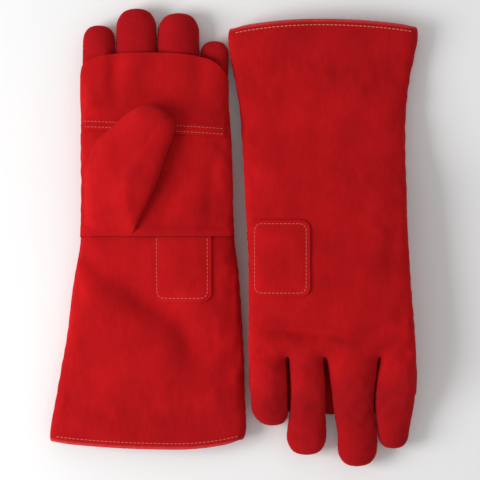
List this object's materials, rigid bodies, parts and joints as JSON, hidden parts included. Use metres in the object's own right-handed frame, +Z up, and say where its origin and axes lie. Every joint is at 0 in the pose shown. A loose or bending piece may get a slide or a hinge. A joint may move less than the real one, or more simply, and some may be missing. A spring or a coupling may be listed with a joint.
{
  "type": "welding gloves",
  "caption": "Red split-leather welding gauntlets lying flat, palm up and back up, with lined cuffs, sewn patches, folded thumbs and bending fingers.",
  "frame": {"origin": "middle of the pair's plan, on the table", "axes": "+Y along the gloves towards the left glove's fingertips, +X from the left glove to the right glove, +Z up from the table"},
  "size_m": [0.3378, 0.4192, 0.0502],
  "materials": {
    "red_suede": "red dyed split cowhide, napped suede side out",
    "dark_red_suede": "the same hide, darker where the fingers turn under",
    "cream_cotton": "brushed cotton drill lining",
    "peach_thread": "twisted sewing thread"
  },
  "bodies": {
    "left_cuff": {"left_cuff_palm_panel": "red_suede", "left_cuff_back_panel": "red_suede", "left_cuff_lining": "cream_cotton", "left_hem_stitching": "peach_thread", "left_vein_patch": "red_suede", "left_vein_patch_stitching": "peach_thread"},
    "left_hand": {"left_palm_panel": "red_suede", "left_upper_palm_panel": "red_suede", "left_hand_back_panel": "red_suede", "left_hand_lining": "cream_cotton", "left_palm_seam_lower_row": "peach_thread", "left_palm_seam_upper_row": "peach_thread", "left_back_patch": "red_suede", "left_back_patch_stitching": "peach_thread"},
    "left_fingers": {"left_index_root": "red_suede", "left_middle_root": "red_suede", "left_ring_root": "red_suede", "left_little_root": "red_suede", "left_finger_flap": "red_suede"},
    "left_index_end": {"left_index_fingertip": "dark_red_suede"},
    "left_middle_end": {"left_middle_fingertip": "dark_red_suede"},
    "left_ring_end": {"left_ring_fingertip": "dark_red_suede"},
    "left_little_end": {"left_little_fingertip": "dark_red_suede"},
    "left_thumb": {"left_thumb": "red_suede", "left_thumb_lining": "cream_cotton"},
    "right_cuff": {"right_cuff_palm_panel": "red_suede", "right_cuff_back_panel": "red_suede", "right_cuff_lining": "cream_cotton", "right_hem_stitching": "peach_thread", "right_vein_patch": "red_suede", "right_vein_patch_stitching": "peach_thread"},
    "right_hand": {"right_palm_panel": "red_suede", "right_upper_palm_panel": "red_suede", "right_hand_back_panel": "red_suede", "right_hand_lining": "cream_cotton", "right_palm_seam_lower_row": "peach_thread", "right_palm_seam_upper_row": "peach_thread", "right_back_patch": "red_suede", "right_back_patch_stitching": "peach_thread"},
    "right_fingers": {"right_index_root": "red_suede", "right_middle_root": "red_suede", "right_ring_root": "red_suede", "right_little_root": "red_suede", "right_finger_flap": "red_suede"},
    "right_index_end": {"right_index_fingertip": "dark_red_suede"},
    "right_middle_end": {"right_middle_fingertip": "dark_red_suede"},
    "right_ring_end": {"right_ring_fingertip": "dark_red_suede"},
    "right_little_end": {"right_little_fingertip": "dark_red_suede"},
    "right_thumb": {"right_thumb": "red_suede", "right_thumb_lining": "cream_cotton"}
  },
  "joints": [
    {"name": "gloves_apart", "type": "slide", "parent": "left_cuff", "child": "right_cuff", "axis": [1, 0, 0], "range_m": [0, 0.2]},
    {"name": "left_wrist_bend", "type": "hinge", "parent": "left_cuff", "child": "left_hand", "pos_m": [-0.07068, -0.0084, 0.01745], "axis": [1, 0, 0], "range_deg": [-25, 25]},
    {"name": "left_knuckle_bend", "type": "hinge", "parent": "left_hand", "child": "left_fingers", "pos_m": [-0.07068, 0.1266, 0.02786], "axis": [1, 0, 0], "range_deg": [0, 70]},
    {"name": "left_index_bend", "type": "hinge", "parent": "left_fingers", "child": "left_index_end", "pos_m": [-0.12403, 0.1676, 0.0233], "axis": [1, 0, 0], "range_deg": [0, 60]},
    {"name": "left_middle_bend", "type": "hinge", "parent": "left_fingers", "child": "left_middle_end", "pos_m": [-0.08983, 0.1696, 0.0233], "axis": [1, 0, 0], "range_deg": [0, 60]},
    {"name": "left_ring_bend", "type": "hinge", "parent": "left_fingers", "child": "left_ring_end", "pos_m": [-0.05153, 0.1696, 0.0233], "axis": [1, 0, 0], "range_deg": [0, 60]},
    {"name": "left_little_bend", "type": "hinge", "parent": "left_fingers", "child": "left_little_end", "pos_m": [-0.01863, 0.1586, 0.0233], "axis": [1, 0, 0], "range_deg": [0, 60]},
    {"name": "left_thumb_swing", "type": "hinge", "parent": "left_hand", "child": "left_thumb", "pos_m": [-0.14116, 0.0446, 0.03325], "axis": [0, -1, 0], "range_deg": [0, 100]},
    {"name": "right_wrist_bend", "type": "hinge", "parent": "right_cuff", "child": "right_hand", "pos_m": [0.08568, 0.0144, 0.03244], "axis": [1, 0, 0], "range_deg": [-25, 25]},
    {"name": "right_knuckle_bend", "type": "hinge", "parent": "right_hand", "child": "right_fingers", "pos_m": [0.08568, -0.1206, 0.01793], "axis": [1, 0, 0], "range_deg": [0, 70]},
    {"name": "right_index_bend", "type": "hinge", "parent": "right_fingers", "child": "right_index_end", "pos_m": [0.14773, -0.1616, 0.00429], "axis": [1, 0, 0], "range_deg": [0, 60]},
    {"name": "right_middle_bend", "type": "hinge", "parent": "right_fingers", "child": "right_middle_end", "pos_m": [0.11183, -0.1636, 0.00365], "axis": [1, 0, 0], "range_deg": [0, 60]},
    {"name": "right_ring_bend", "type": "hinge", "parent": "right_fingers", "child": "right_ring_end", "pos_m": [0.06613, -0.1636, 0.00365], "axis": [1, 0, 0], "range_deg": [0, 60]},
    {"name": "right_little_bend", "type": "hinge", "parent": "right_fingers", "child": "right_little_end", "pos_m": [0.03163, -0.1526, 0.00787], "axis": [1, 0, 0], "range_deg": [0, 60]},
    {"name": "right_thumb_swing", "type": "hinge", "parent": "right_hand", "child": "right_thumb", "pos_m": [0.16067, -0.0386, 0.017], "axis": [0, -1, 0], "range_deg": [0, 100]}
  ]
}
